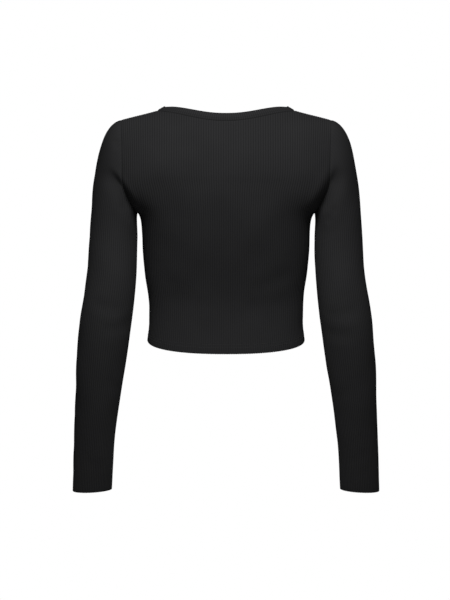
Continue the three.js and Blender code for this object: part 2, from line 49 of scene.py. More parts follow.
# Cloth
CLOTH = 0.9  # thickness of one layer
SEAM_GAP = 0.1
PANEL_RIBS = 88
SLEEVE_RIBS = 69
RIB_COLUMNS = 6  # columns of points for each rib
RIB_DEPTH = 0.5
RIB_FADE = 2  # distance from a seam over which the ribs come up
FOLD_RADIUS = 1.25  # of the turned-up hem and cuffs
HEM_TURN = 14
SEAM_DIP = 0.5  # how far the cloth sinks into a seam
SEAM_REACH = 1.6
NO_DIP_ABOVE_UNDERARM = 14  # height at which the armhole's seam doesn't dip
NO_DIP_REACH = 26
SHADE_ANGLE = math.radians(70)  # edges that bend more are shaded as sharp
DOUBLES = 0.01  # points closer than this are one point

# Rows of points. On the panels and the caps they lie closer together towards the armpit and the
# armhole.
LOWER_ROWS = 32
UPPER_ROWS = 52
ARM_ROWS = 60
CAP_ROWS = 32
CROWDING = 1.25
LOOK_AHEAD = 2  # distance to a neighbouring row that gives the direction of the cloth
TURNED_ROWS = 3
FOLD_ANGLES = [180, 144, 108, 72, 36]
# Away from its edges a panel runs past the armpit's height without a bend, as a mean of places
# a step in height lower and higher, each with its weight
BEND_STEPS = [(-0.08, 1), (-0.04, 2), (0, 3), (0.04, 2), (0.08, 1)]
BEND_HEIGHT = 0.12
BEND_EDGE = 0.15

# Body
HEM_Z = -371.5
TILT_FADES_Z = -300  # below it the rows of points slope down towards the back
UNDERARM_Z = -168
UNDERARM_X = 141
SIDE_FLARE = 6.2  # of the side seam just below the armpit
FLARE_LENGTH = 8
ACROSS_Z = -108  # height at which the armhole has reached its full depth
SHOULDER_X = 168
NECK_X = 110
NECK_Z = -4
SHOULDER_FALL = 0.26
NECK_RISE = 40
NIP_START = 0.55  # share of the width past which a panel is drawn in to its edge
SPREAD_POWER = 5  # how late the ribs spread towards the side seam
ARCH = 2.2  # roundness of the shoulders and of the armholes
LEAN_HEIGHT = 88  # over which a panel leans in towards the shoulder seam
SECTION_STOPS = 401  # places at which a section's length is measured
ARMHOLE_STOPS = 241

# Outline of the body from the hem up
HALF_WIDTH, BEHIND, BEFORE, REACH_BEHIND, REACH_BEFORE = 1, 2, 3, 4, 5
BODY = np.array(
    [  # height, half width, depth behind, depth before, reach behind, reach before
        (-373, 126.4, 72.0, 84.0, 126.4, 126.4),
        (-352, 123.6, 68.5, 82.5, 123.6, 123.6),
        (-333, 122.8, 66.0, 83.0, 122.8, 122.8),
        (-314, 123.0, 65.5, 85.0, 123.0, 123.0),
        (-295, 124.8, 67.5, 89.0, 124.8, 124.8),
        (-265, 129.8, 73.0, 98.0, 129.8, 129.8),
        (-230, 132.8, 81.0, 110.0, 133.5, 133.2),
        (-200, 134.0, 87.0, 116.0, 137.0, 136.0),
        (-165, 134.8, 91.0, 114.0, 149.0, 144.0),
        (-135, 134.8, 91.5, 106.0, 174.0, 156.0),
        (-108, 134.8, 90.0, 96.0, 196.0, 168.0),
        (-60, 134.8, 90.0, 96.0, 199.0, 178.0),
        (-19, 134.8, 90.0, 96.0, 199.0, 186.0),
    ]
)
RIB_SPREAD = np.array(
    [  # height, share of the armhole's depth from which the ribs spread to the side seam
        (-373, 0.0),
        (-310, 0.0),
        (-265, 0.12),
        (-230, 0.3),
        (-200, 0.47),
        (-165, 0.68),
        (-135, 0.88),
        (-108, 1.0),
    ]
)
BACK = {
    "facing": 1,
    "depth": BEHIND,
    "reach": REACH_BEHIND,
    "roundness": 2.3,
    "across_x": 165.5,
    "across_y": 55,
    "neck_drop": 14,
    "neck_shape": 1.15,
    "neck_ends_level": 1.0,  # share to which the neckline levels off at its ends
    "lean": 0.25,
    "hem_tilt": 0.25,
}
FRONT = {
    "facing": -1,
    "depth": BEFORE,
    "reach": REACH_BEFORE,
    "roundness": 2.2,
    "across_x": 153,
    "across_y": 46,
    "neck_drop": 102,
    "neck_shape": 2.8,
    "neck_ends_level": 0.0,
    "lean": 0.2,
    "hem_tilt": 0.14,
}

# The sleeve's sections down the arm
ARM_X, ARM_Y, WIDE, DEEP, FALL_X, FALL_Y = 1, 2, 3, 4, 5, 6
ARM = np.array(
    [  # height, centre x and y, half width, half depth, slopes of the section
        (-205, 179.5, 8, 38.2, 43.0, 0.05, 0.10),
        (-262, 182.2, 13, 39.5, 42.0, 0.00, 0.08),
        (-305, 187.2, 16, 41.3, 41.5, -0.05, 0.02),
        (-345, 192.6, 16, 41.8, 41.5, -0.06, -0.04),
        (-390, 197.6, 12, 40.8, 39.5, -0.06, -0.07),
        (-450, 203.6, 5, 37.0, 35.0, -0.06, -0.08),
        (-530, 210.6, -3, 32.8, 29.0, -0.05, -0.08),
        (-613, 214.3, -9, 31.7, 26.0, -0.055, -0.10),
    ]
)
ARM_TOP = -205
CUFF_Z = -613
# How the sleeve leaves the armhole, at each eighth of the way round: from the shoulder down behind
# to the armpit, and up before
CAP_X, CAP_Y, CAP_Z, CAP_START, CAP_END = 0, 1, 2, 3, 4
CAP = np.array(
    [  # direction, then the pull at the armhole and at the arm's first section
        (0.97, 0.00, -0.24, 130, 190),
        (0.88, 0.20, -0.42, 100, 140),
        (0.60, 0.10, -0.79, 60, 90),
        (0.40, 0.25, -0.88, 34, 55),
        (0.50, 0.00, -0.87, 16, 34),
        (0.40, -0.25, -0.88, 34, 55),
        (0.60, -0.15, -0.79, 60, 90),
        (0.88, -0.20, -0.42, 100, 140),
    ]
)

# The ribs lie flatter on the cap
CAP_RIBS_Z = -190
CAP_RIBS_LENGTH = 110
CAP_RIBS_LOST = 0.75

# Neckband
BAND_WIDTH = 14
BAND_PROUD = 0.7
BAND_INNER = 1.9
BAND_STOPS = 360
BAND_ROWS = 15
BAND_FOLD_ANGLES = [60, 30, 0, -30, -60]
NECKLINE_STOPS = 401
NEAR_TOP = 0.995  # height of the row just below the neckline
BAND_CORNER = 9  # reach of the corner, where the band stands across the shoulder seam
BAND_EVENINGS = 60  # times that its direction is evened out
BAND_RIDGE = 0.14
BAND_RIDGE_PITCH = 4.2
BAND_ROLL = 1.2  # how far its edge at the seam rolls in
BAND_ROLL_REACH = 1.8
BAND_LIP = 0.6  # behind the panel's edge, so that no light shows through the seam
BAND_LIP_BEHIND = 0.5

# Creases. Each runs between two places and bends sideways by its bow. It sinks by its depth, or rises
# where that is negative. Its two sides may slope differently: seen with +X on the right, the first
# width is on the left of the way along it and the second on the right.
BACK_CREASES = [  # from x, from z, to x, to z, widths, depth, bow
    (112, -262, 36, -296, 13, 13, 1.0, -5),
    (-120, -250, -30, -290, 12, 12, 1.1, 5),
    (116, -300, 10, -318, 10, 10, 0.9, 4),
    (-112, -306, -18, -322, 11, 11, 0.8, -4),
    (60, -330, 66, -384, 12, 12, -1.0, 3),
    (-46, -326, -54, -386, 13, 13, -0.9, -3),
    (20, -60, 96, -40, 14, 14, 0.6, 5),
]
FRONT_CREASES = [
    (-112, -262, -34, -296, 13, 13, 1.1, 5),
    (116, -256, 42, -290, 12, 12, 1.0, -4),
    (128, -140, 74, -170, 11, 11, 1.2, 5),
    (-126, -144, -70, -178, 12, 12, 1.1, -5),
    (52, -322, 58, -376, 12, 12, -0.9, 3),
    (-60, -324, -52, -376, 13, 13, -0.9, -3),
]
# At the armpits the folds run from the sleeve over the seam, so the panels and the sleeves sink as one
ARMPIT_FOLDS = {
    1: [  # behind
        (195, -90, 144, -167, 14, 5, 5.8, 5),
        (171, -146, 152, -184, 6, 6, 1.2, 2),
        (-182, -87, -141, -169, 8, 14, 7.4, 2),
        (-178, -150, -160, -186, 7, 7, 1.4, -2),
        (174, -46, 171, -66, 7, 7, 1.3, 0),
    ],
    -1: [  # before
        (178, -92, 142, -168, 13, 5, 5.6, 4),
        (-172, -90, -143, -167, 6, 13, 6.0, 3),
        (-172, -140, -152, -180, 6, 6, 1.5, -2),
    ],
}
SLEEVE_CREASES = {
    "left": [  # from turn, from z, to turn, to z, widths, depth, bow
        (1.72, -160, 1.2, -212, 9, 9, 1.4, -6),
        (0.20, -300, 0.78, -322, 8, 8, 1.5, 5),
        (0.95, -336, 0.40, -352, 9, 9, 1.4, -4),
        (1.30, -306, 1.82, -330, 9, 9, 1.4, 5),
        (0.55, -430, 0.90, -452, 8, 8, 0.9, 3),
        (0.30, -560, 0.75, -574, 7, 7, 0.8, 3),
    ],
    "right": [
        (1.70, -156, 1.2, -214, 9, 9, 1.4, -6),
        (0.24, -314, 0.80, -330, 9, 9, 1.4, 5),
        (0.92, -350, 0.36, -360, 9, 9, 1.5, -4),
        (1.28, -316, 1.80, -336, 8, 8, 1.3, 5),
        (0.50, -446, 0.88, -462, 8, 8, 0.8, 3),
        (0.28, -548, 0.72, -566, 7, 7, 0.8, 3),
    ],
}
TURN_LENGTH = 126  # of cloth, for one unit of turn
CREASE_FADES = 6  # distance over which creases and waves come up from a seam
CREASE_RISES = 25  # distance over which they come up above the turned-up layer
CREASE_START = 0.35  # share of a crease's length over which it deepens
CREASE_END = 0.3  # share over which it runs out
LIP_PLACE = 1.9  # of the low lips beside a crease, in widths
LIP_SHARE = 0.2
ARMPIT_FADE = 34  # depth from the side seam over which the armpits' folds come up

# The soft waves all over the cloth
WAVES = [  # length across, length up, height, start
    (148, 96, 0.55, 0.4),
    (83, 131, 0.4, 1.9),
    (61, 72, 0.22, 3.1),
]

# Stitching along the hem
STITCH_PITCH = 3.0
STITCH_LENGTH = 2.4
STITCH_RADIUS = 0.3
STITCH_SAG = 0.45  # of its ends
STITCH_TAPER = 0.35
STITCH_LIFT = 0.12
STITCH_HEIGHTS = [9, 13]
STITCH_STOPS = 1201  # places at which a row's length is measured
STITCH_ROW = 0.995  # share of the hem's width

# Knit, in shades. A shade of 0 is the crests' colour and 1 the troughs', which are painted darker as
# shade in the ribs' hollows.
FLECK_SCALE = 1400.0
CLOUD_SCALE = 16.0
THREAD_SCALE = 2600.0
SHADE_OF_CRESTS = 0.1
# How far the troughs are painted darker as shade, on most of the cloth and on the calmer cap
RIB_SHADE = 0.8
CALM_RIB_SHADE = 0.2
FLECK_SHADE = 0.3
CLOUD_SHADE = 0.35
LOOP_SHADE = 0.05
LOOP_SLANT = 2.2  # how far a stitch's arms lag behind its middle
KNIT_ROUGHNESS = 0.86
FLECK_ROUGHNESS = 0.12
KNIT_BUMP = 0.0002
KNIT_SHEEN = 0.006

# Camera, in metres and degrees: far off behind the back and a little above it
CAMERA_TARGET = (0.0016, 0, -0.3072)
CAMERA_TILT = 3.5
CAMERA_DISTANCE = 12
CAMERA_LENS = 450

# Light and floor, in metres
EVEN_LIGHT = 0.03
FLOOR_Z = -1.4
FLOOR_RADIUS = 2.8


def smooth(t):
    t = np.clip(t, 0, 1)
    return t * t * (3 - 2 * t)


def unit(vectors):
    return vectors / np.maximum(np.linalg.norm(vectors, axis=-1, keepdims=True), 1e-9)


def curve(table, column, at):
    """A smooth curve through a table's column, over its first column."""
    key, value = table[:, 0], table[:, column]
    if key[0] > key[-1]:
        key, value = key[::-1], value[::-1]
    last = len(key) - 1
    low = np.maximum(np.arange(last + 1) - 1, 0)
    high = np.minimum(np.arange(last + 1) + 1, last)
    slope = (value[high] - value[low]) / (key[high] - key[low])
    at = np.clip(at, key[0], key[-1])
    i = np.clip(np.searchsorted(key, at, side="right") - 1, 0, last - 1)
    span = key[i + 1] - key[i]
    t = (at - key[i]) / span
    from_low = (2 * t**3 - 3 * t**2 + 1) * value[i] + (t**3 - 2 * t**2 + t) * span * slope[i]
    from_high = (3 * t**2 - 2 * t**3) * value[i + 1] + (t**3 - t**2) * span * slope[i + 1]
    return from_low + from_high


def ridge_height(x):
    """Height of the shoulder line, which runs on towards the neck inside the opening."""
    inside = np.maximum(0, 1 - x / NECK_X)
    return NECK_Z - SHOULDER_FALL * (x - NECK_X) + NECK_RISE * inside * inside


def top_height(side, x):
    """Top edge of a panel: neckline, then shoulder seam."""
    rise = np.minimum(1, x / NECK_X) ** side["neck_shape"]
    rise = rise + (smooth(rise) - rise) * side["neck_ends_level"]
    neckline = NECK_Z - side["neck_drop"] * (1 - rise)
    return np.where(x >= NECK_X, ridge_height(x), neckline)


def edge_at(side, z):
    """A panel's outer edge at a height: its distance from the centre and its depth."""
    flare = SIDE_FLARE * np.exp(np.minimum(0, z - UNDERARM_Z) / FLARE_LENGTH)
    seam_x = curve(BODY, HALF_WIDTH, z) + flare
    t = np.clip((z - UNDERARM_Z) / (ACROSS_Z - UNDERARM_Z), 0, 1)
    hole_x = UNDERARM_X + (side["across_x"] - UNDERARM_X) * np.sin(t * np.pi / 2)
    s = np.clip((z - ACROSS_Z) / (ridge_height(SHOULDER_X) - ACROSS_Z), 0, 1)
    shoulder_x = side["across_x"] + (SHOULDER_X - side["across_x"]) * s * s
    x = np.where(z <= UNDERARM_Z, seam_x, np.where(z <= ACROSS_Z, hole_x, shoulder_x))
    return x, side["across_y"] * (1 - (1 - t) ** ARCH) ** (1 / ARCH)


def section_at(side, z):
    """A panel's curve at a height: edge x, edge y, depth, reach, and where it stops."""
    n = side["roundness"]
    edge_x, edge_y = edge_at(side, z)
    depth = curve(BODY, side["depth"], z)
    reach = curve(BODY, side["reach"], z)
    end = reach * (1 - (edge_y / depth) ** n) ** (1 / n)
    return edge_x, edge_y, depth, reach, end


def depth_on(side, depth, reach, x):
    """How deep a section's curve is at a distance from the centre."""
    n = side["roundness"]
    return depth * np.maximum(0, 1 - (x / reach) ** n) ** (1 / n)


LOWER_LEVELS = np.linspace(HEM_Z, UNDERARM_Z, 53)
UPPER_LEVELS = UNDERARM_Z + (ACROSS_Z - UNDERARM_Z) * np.linspace(0, 1, 61)[1:] ** 2
LEVELS = np.concatenate([LOWER_LEVELS, UPPER_LEVELS])
SHARES = np.linspace(0, 1, 201)


def measure_widths(side):
    """Where a share of the way round the section lies, as a share of its width, at each level."""
    rows = []
    for level in LEVELS:
        _, edge_y, depth, reach, end = section_at(side, level)
        x = end * np.sin(np.linspace(0, np.pi / 2, SECTION_STOPS))
        y = depth_on(side, depth, reach, x)
        length = np.concatenate([[0], np.cumsum(np.hypot(np.diff(x), np.diff(y)))])
        spread_y = max(edge_y, side["across_y"] * curve(RIB_SPREAD, 1, level))
        kept = np.interp(-spread_y, -y, length) / length[-1]
        goal = (SHARES * kept + SHARES**SPREAD_POWER * (1 - kept)) * length[-1]
        rows.append(np.interp(goal, length, x) / x[-1])
    return np.array(rows)


for panel_side in (BACK, FRONT):
    panel_side["widths"] = measure_widths(panel_side)
    panel_side["corner"] = np.interp(NECK_X / SHOULDER_X, panel_side["widths"][-1], SHARES)


def width_share(side, z, share):
    """The measured width at any height, between the levels and the shares of the table."""
    table = side["widths"]
    row = np.interp(z, LEVELS, np.arange(len(LEVELS)))
    column = share * (len(SHARES) - 1)
    r = np.minimum(row.astype(int), len(LEVELS) - 2)
    c = np.minimum(column.astype(int), len(SHARES) - 2)
    up, over = row - r, column - c
    low = (1 - over) * table[r, c] + over * table[r, c + 1]
    high = (1 - over) * table[r + 1, c] + over * table[r + 1, c + 1]
    return (1 - up) * low + up * high


def panel_points(side, across, height):
    """Points on a panel. across runs from -1 to 1 between the side edges. height runs from -1 at the
    hem to 0 at the armpit and 1 at the top edge."""
    across, height = np.broadcast_arrays(across * 1.0, height * 1.0)
    share = np.minimum(1, np.abs(across))
    top_x = width_share(side, np.full_like(share, ACROSS_Z), share) * SHOULDER_X
    rise = np.where(height > 0, top_height(side, top_x) - UNDERARM_Z, UNDERARM_Z - HEM_Z)
    z = UNDERARM_Z + rise * height
    edge_x, _, depth, reach, end = section_at(side, z)
    along = width_share(side, z, share) * end
    x = along - (end - edge_x) * smooth((share - NIP_START) / (1 - NIP_START))
    y = depth_on(side, depth, reach, along)
    ridge = ridge_height(x)
    below = np.clip((ridge - z) / (ridge - ACROSS_Z), 0, 1)
    below = np.where((height >= 1) & (top_x >= NECK_X), 0, below)
    arch = (1 - (1 - below) ** ARCH) ** (1 / ARCH)
    lean = 1 - side["lean"] * (np.maximum(0, z - ACROSS_Z) / LEAN_HEIGHT) ** 1.5
    y = np.where(z > ACROSS_Z, y * arch * lean, y)
    tilt = side["facing"] * y * side["hem_tilt"] * smooth((TILT_FADES_Z - z) / (TILT_FADES_Z - HEM_Z))
    z = np.where(height < 0, z - tilt, z)
    return np.stack([np.sign(across) * x, side["facing"] * (y + SEAM_GAP / 2), z], axis=-1)


def cap_setting(turn, column):
    """A smooth closed curve through the column of the cap's table."""
    place = (turn % 2) * len(CAP) / 2
    i = np.floor(place).astype(int)
    t = place - i
    p0, p1, p2, p3 = (CAP[(i + k) % len(CAP), column] for k in (-1, 0, 1, 2))
    linear = 2 * p1 + (p2 - p0) * t
    return 0.5 * (linear + (2 * p0 - 5 * p1 + 4 * p2 - p3) * t**2 + (3 * p1 - p0 - 3 * p2 + p3) * t**3)


def measure_armhole():
    """The armhole seam as turns and places, from the shoulder behind to the armpit and up in front."""
    up = 0.5 + 0.5 * np.cos(np.linspace(0, np.pi, ARMHOLE_STOPS))
    halves = [panel_points(BACK, 1.0, up), panel_points(FRONT, 1.0, up)[::-1]]
    turns = []
    for base, places in enumerate(halves):
        places[:, 1] -= (1 - 2 * base) * SEAM_GAP / 2
        steps = np.linalg.norm(np.diff(places, axis=0), axis=-1)
        turns.append(base + np.concatenate([[0], np.cumsum(steps)]) / steps.sum())
    return np.concatenate([turns[0], turns[1][1:]]), np.concatenate([halves[0], halves[1][1:]])


ARMHOLE_TURNS, ARMHOLE_PLACES = measure_armhole()


def arm_points(turn, z):
    """Points of the sleeve at a height. turn is 0 outside, 0.5 behind, 1 underneath and 1.5 before."""
    angle = turn * np.pi
    dx = curve(ARM, WIDE, z) * np.cos(angle)
    dy = curve(ARM, DEEP, z) * np.sin(angle)
    down = z + curve(ARM, FALL_X, z) * dx + curve(ARM, FALL_Y, z) * dy
    return np.stack([curve(ARM, ARM_X, z) + dx, curve(ARM, ARM_Y, z) + dy, down], axis=-1)


def cap_points(turn, s):
    """Points of the sleeve between the armhole, s of 0, and the arm's first section, s of 1."""
    turn, s = np.broadcast_arrays(turn * 1.0, s * 1.0)
    way = np.stack([cap_setting(turn, k) for k in (CAP_X, CAP_Y, CAP_Z)], axis=-1)
    way = unit(way)
    seam = [np.interp(turn % 2, ARMHOLE_TURNS, ARMHOLE_PLACES[:, k]) for k in range(3)]
    start = np.stack(seam, axis=-1)
    start = start + way * SEAM_GAP / 2
    end = arm_points(turn, np.full_like(turn, ARM_TOP))
    down = unit(arm_points(turn, np.full_like(turn, ARM_TOP - 10)) - end)
    s = s[..., None]
    leave = way * cap_setting(turn, CAP_START)[..., None] * (s**3 - 2 * s**2 + s)
    arrive = down * cap_setting(turn, CAP_END)[..., None] * (s**3 - s**2)
    return start * (2 * s**3 - 3 * s**2 + 1) + leave + end * (3 * s**2 - 2 * s**3) + arrive


def grid_normals(points, closed):
    """Outward directions over a grid of points."""
    if closed:
        padded = np.concatenate([points[:, -2:-1], points, points[:, 1:2]], axis=1)
        across = np.gradient(padded, axis=1)[:, 1:-1]
    else:
        across = np.gradient(points, axis=1)
    return unit(np.cross(across, np.gradient(points, axis=0)))


def lengths_along(points, axis):
    """Lengths of the cloth from its first row or column of points."""
    steps = np.linalg.norm(np.diff(points, axis=axis), axis=-1)
    zero = np.zeros_like(np.take(steps, [0], axis=axis))
    return np.concatenate([zero, np.cumsum(steps, axis=axis)], axis=axis)


def turned_up(surface):
    """Rows of a hem's turned-up layer and its fold. surface gives a row of points at a height above
    the edge."""
    edge, above = surface(FOLD_RADIUS), surface(FOLD_RADIUS + LOOK_AHEAD)
    out = grid_normals(np.stack([edge, above]), False)[0]
    down = unit(edge - above)
    turned = []
    for height in np.linspace(HEM_TURN, FOLD_RADIUS + 3, TURNED_ROWS):
        here, over = surface(height), surface(height + LOOK_AHEAD)
        normal = grid_normals(np.stack([here, over]), False)[0]
        turned.append(here - normal * 2 * FOLD_RADIUS)
    fold = []
    for angle in np.radians(FOLD_ANGLES):
        inset = out * FOLD_RADIUS * (1 - np.cos(angle))
        fold.append(edge - inset + down * FOLD_RADIUS * np.sin(angle))
    return turned + fold


def sink(u, v, creases):
    """How far the cloth sinks at places u, v for a list of creases."""
    total = np.zeros_like(u)
    for u0, v0, u1, v1, left, right, depth, bow in creases:
        du, dv = u1 - u0, v1 - v0
        length = math.hypot(du, dv)
        t = ((u - u0) * du + (v - v0) * dv) / length**2
        aside = ((u - u0) * dv - (v - v0) * du) / length - bow * 4 * t * (1 - t)
        taper = smooth(t / CREASE_START) * (1 - smooth((t - (1 - CREASE_END)) / CREASE_END))
        width = np.where(aside > 0, right, left)
        trough = np.exp(-((aside / width) ** 2))
        lips = np.exp(-(((np.abs(aside) - LIP_PLACE * width) / width) ** 2))
        total += depth * taper * (trough - LIP_SHARE * lips)
    return total


def fold_armpits(points):
    """Sinks the armpits' folds into the cloth, less and less towards the side seam."""
    for face, folds in ARMPIT_FOLDS.items():
        depth = points[..., 1] * face
        sunk = sink(points[..., 0], points[..., 2], folds) * smooth(depth / ARMPIT_FADE)
        points[..., 1] -= face * np.where(depth > 0, sunk, 0)


def seam_dip(from_seam, z):
    """How far the cloth dips beside a seam. It doesn't at the armpit, where the pieces turn apart."""
    away = 1 - np.exp(-(((z - UNDERARM_Z - NO_DIP_ABOVE_UNDERARM) / NO_DIP_REACH) ** 2))
    return SEAM_DIP * np.exp(-((from_seam / SEAM_REACH) ** 2)) * away


def wave(u, v, turned):
    """How far the cloth sinks in its soft waves."""
    total = np.zeros_like(u)
    for across, up, height, start in WAVES:
        swell = height * np.sin(2 * np.pi * u / across + start + turned)
        total += swell * np.sin(2 * np.pi * v / up + 2 * start)
    return total


def rib_sink(columns):
    """How far each column of points sinks between the ribs' crests."""
    phase = (np.arange(columns) % RIB_COLUMNS) / RIB_COLUMNS
    return RIB_DEPTH * np.abs(2 * phase - 1) ** 3


def place_cloth(name, points, lengths, closed):
    """Makes one piece of cloth from a flat grid whose points are moved to their places."""
    rows, columns = points.shape[:2]
    bpy.ops.object.select_all(action="DESELECT")
    bpy.ops.mesh.primitive_grid_add(x_subdivisions=columns - 1, y_subdivisions=rows - 1, size=1)
    cloth = bpy.context.object
    cloth.name = cloth.data.name = name
    mesh = cloth.data
    flat = np.empty(len(mesh.vertices) * 3)
    mesh.vertices.foreach_get("co", flat)
    flat = flat.reshape(-1, 3)
    column = np.rint((flat[:, 0] + 0.5) * (columns - 1)).astype(int)
    row = np.rint((flat[:, 1] + 0.5) * (rows - 1)).astype(int)
    mesh.vertices.foreach_set("co", (points[row, column] * MM).ravel())
    corner = np.empty(len(mesh.loops), dtype=int)
    mesh.loops.foreach_get("vertex_index", corner)
    uv = np.stack([column / (columns - 1), lengths[row, column] / lengths.max()], axis=-1)
    mesh.uv_layers[0].data.foreach_set("uv", uv[corner].ravel())
    mesh.update()
    if closed:
        bpy.ops.object.mode_set(mode="EDIT")
        bpy.ops.mesh.select_all(action="SELECT")
        bpy.ops.mesh.remove_doubles(threshold=DOUBLES * MM)
        bpy.ops.object.mode_set(mode="OBJECT")
    layer = cloth.modifiers.new("layer", "SOLIDIFY")
    layer.thickness = CLOTH * MM
    layer.offset = -1
    bpy.ops.object.modifier_apply(modifier=layer.name)
    bpy.ops.object.shade_smooth_by_angle(angle=SHADE_ANGLE)
    return cloth


def make_panel(name, side, creases, turned):
    """The back or the front, cut in one."""
    columns = PANEL_RIBS * RIB_COLUMNS + 1
    across = -side["facing"] * np.linspace(-1, 1, columns)
    hem_height = UNDERARM_Z - HEM_Z

    def row_above_hem(height):
        return panel_points(side, across, np.array(-1 + height / hem_height))

    folded = turned_up(row_above_hem)
    lower = (FOLD_RADIUS / hem_height - 1) * (1 - np.linspace(0, 1, LOWER_ROWS)) ** CROWDING
    upper = (1 - np.cos(np.pi * np.linspace(0, 1, UPPER_ROWS + 1)[1:])) / 2
    heights = np.concatenate([lower, upper])
    main = panel_points(side, across[None, :], heights[:, None])
    weights = sum(weight for _, weight in BEND_STEPS)
    soft = sum(
        panel_points(side, across[None, :], (heights + step)[:, None]) * (weight / weights)
        for step, weight in BEND_STEPS
    )
    near_bend = np.exp(-((heights / BEND_HEIGHT) ** 2))
    off_edge = smooth((1 - np.abs(across)) / BEND_EDGE)
    main += (soft - main) * (near_bend[:, None] * off_edge[None, :])[..., None]
    points = np.concatenate([np.array(folded), main])
    fold_armpits(points)
    normals = grid_normals(points, False)
    aside, along = lengths_along(points, 1), lengths_along(points, 0)
    from_side = np.minimum(aside, aside[:, -1:] - aside)
    from_top = along[-1:] - along
    from_seam = np.minimum(from_side, from_top)
    raised = smooth(from_seam / CREASE_FADES)
    outside = (np.arange(len(points)) >= len(folded))[:, None] * 1.0
    above_hem = smooth((along - along[len(folded)] - HEM_TURN) / CREASE_RISES) * outside
    sinking = sink(points[..., 0], points[..., 2], creases) * raised * above_hem
    sinking += wave(points[..., 0], points[..., 2], turned) * raised * above_hem
    sinking += seam_dip(from_seam, points[..., 2])
    sinking += rib_sink(columns)[None, :] * smooth(from_seam / RIB_FADE)
    return place_cloth(name, points - normals * sinking[..., None], along, False)


def make_sleeve(name, handed, creases, turned):
    """A sleeve, cut in one and closed by the seam under the arm."""
    columns = SLEEVE_RIBS * RIB_COLUMNS + 1
    turn = handed * np.linspace(-1, 1, columns)

    def row_above_cuff(height):
        return arm_points(turn, np.full_like(turn, CUFF_Z + height)) * (handed, 1, 1)

    folded = turned_up(row_above_cuff)
    arm_z = np.linspace(CUFF_Z + FOLD_RADIUS, ARM_TOP, ARM_ROWS)
    cap = np.linspace(1, 0, CAP_ROWS + 1)[1:] ** CROWDING
    arm = arm_points(turn[None, :] + 0 * arm_z[:, None], arm_z[:, None] + 0 * turn[None, :])
    outer = np.concatenate([arm, cap_points(turn[None, :], cap[:, None])]) * (handed, 1, 1)
    points = np.concatenate([np.array(folded), outer])
    fold_armpits(points)
    normals = grid_normals(points, True)
    along = lengths_along(points, 0)
    aside = lengths_along(points, 1)
    from_seam = np.minimum(np.minimum(aside, aside[:, -1:] - aside), along[-1:] - along)
    raised = smooth(from_seam / CREASE_FADES)
    outside = (np.arange(len(points)) >= len(folded))[:, None] * 1.0
    around = np.broadcast_to(turn[None, :] % 2, points.shape[:2]) * TURN_LENGTH
    laid = [(a * TURN_LENGTH, b, c * TURN_LENGTH, d, *rest) for a, b, c, d, *rest in creases]
    sinking = sink(around, points[..., 2], laid) * raised * outside
    above_cuff = smooth((along - along[len(folded)] - HEM_TURN) / CREASE_RISES) * outside
    sinking += wave(around, points[..., 2], turned) * raised * above_cuff
    sinking += seam_dip(from_seam, points[..., 2])
    on_cap = smooth((points[..., 2] - CAP_RIBS_Z) / CAP_RIBS_LENGTH)
    ribs_left = 1 - CAP_RIBS_LOST * on_cap
    sinking += rib_sink(columns)[None, :] * smooth(from_seam / RIB_FADE) * ribs_left
    return place_cloth(name, points - normals * sinking[..., None], along, True)


def make_neckband():
    """A strip folded in two along its length and sewn round the neck opening."""
    places, outward = [], []
    for side, way in ((BACK, -1), (FRONT, 1)):
        across = way * side["corner"] * np.linspace(-1, 1, NECKLINE_STOPS)
        rows = panel_points(side, across[None, :], np.array([[NEAR_TOP], [1.0]]))
        rows[..., 1] -= side["facing"] * SEAM_GAP / 2
        normals = grid_normals(rows, False) * (1 if way * side["facing"] < 0 else -1)
        from_corner = np.minimum(lengths_along(rows[1], 0), lengths_along(rows[1][::-1], 0)[::-1])
        over_seam = np.zeros_like(normals[1]) + (0, 0, 1)
        over_seam[:, 0] = np.sign(rows[1][:, 0]) * SHOULDER_FALL
        near = np.exp(-((from_corner / BAND_CORNER) ** 2))[:, None]
        places.append(rows[1][:-1])
        outward.append(unit(normals[1] * (1 - near) + over_seam * near)[:-1])
    places, outward = np.concatenate(places), np.concatenate(outward)
    closed = np.concatenate([places, places[:1]])
    length = lengths_along(closed, 0)
    goal = np.linspace(0, length[-1], BAND_STOPS + 1)[:-1]
    stops = np.stack([np.interp(goal, length, closed[:, k]) for k in range(3)], axis=-1)
    outward = np.concatenate([outward, outward[:1]])
    out = np.stack([np.interp(goal, length, outward[:, k]) for k in range(3)], axis=-1)
    tangent = unit(np.roll(stops, -1, axis=0) - np.roll(stops, 1, axis=0))
    inward = unit(np.cross(out, tangent))
    for _ in range(BAND_EVENINGS):
        inward = unit(np.roll(inward, 1, axis=0) + 2 * inward + np.roll(inward, -1, axis=0))
    out = unit(np.cross(tangent, inward))
    middle = (BAND_PROUD - BAND_INNER) / 2
    radius = (BAND_PROUD + BAND_INNER) / 2
    rising = np.linspace(0, BAND_WIDTH - radius, BAND_ROWS)
    ridges = BAND_RIDGE * np.cos(2 * np.pi * rising / BAND_RIDGE_PITCH) - BAND_RIDGE
    rolled = -BAND_ROLL * np.exp(-((rising / BAND_ROLL_REACH) ** 2))
    profile = [(up, BAND_PROUD + over) for up, over in zip(rising, ridges + rolled)]
    for angle in np.radians(BAND_FOLD_ANGLES):
        up = BAND_WIDTH - radius + radius * math.cos(angle)
        profile.append((up, middle + radius * math.sin(angle)))
    profile += [(up, -BAND_INNER) for up in rising[::-2]]
    profile.append((-BAND_LIP, -BAND_INNER - BAND_LIP_BEHIND))
    points = np.array([stops + inward * (SEAM_GAP + up) + out * over for up, over in profile])
    points = np.concatenate([points, points[:, :1]], axis=1)
    return place_cloth("neckband_cloth", points, lengths_along(points, 0), True)


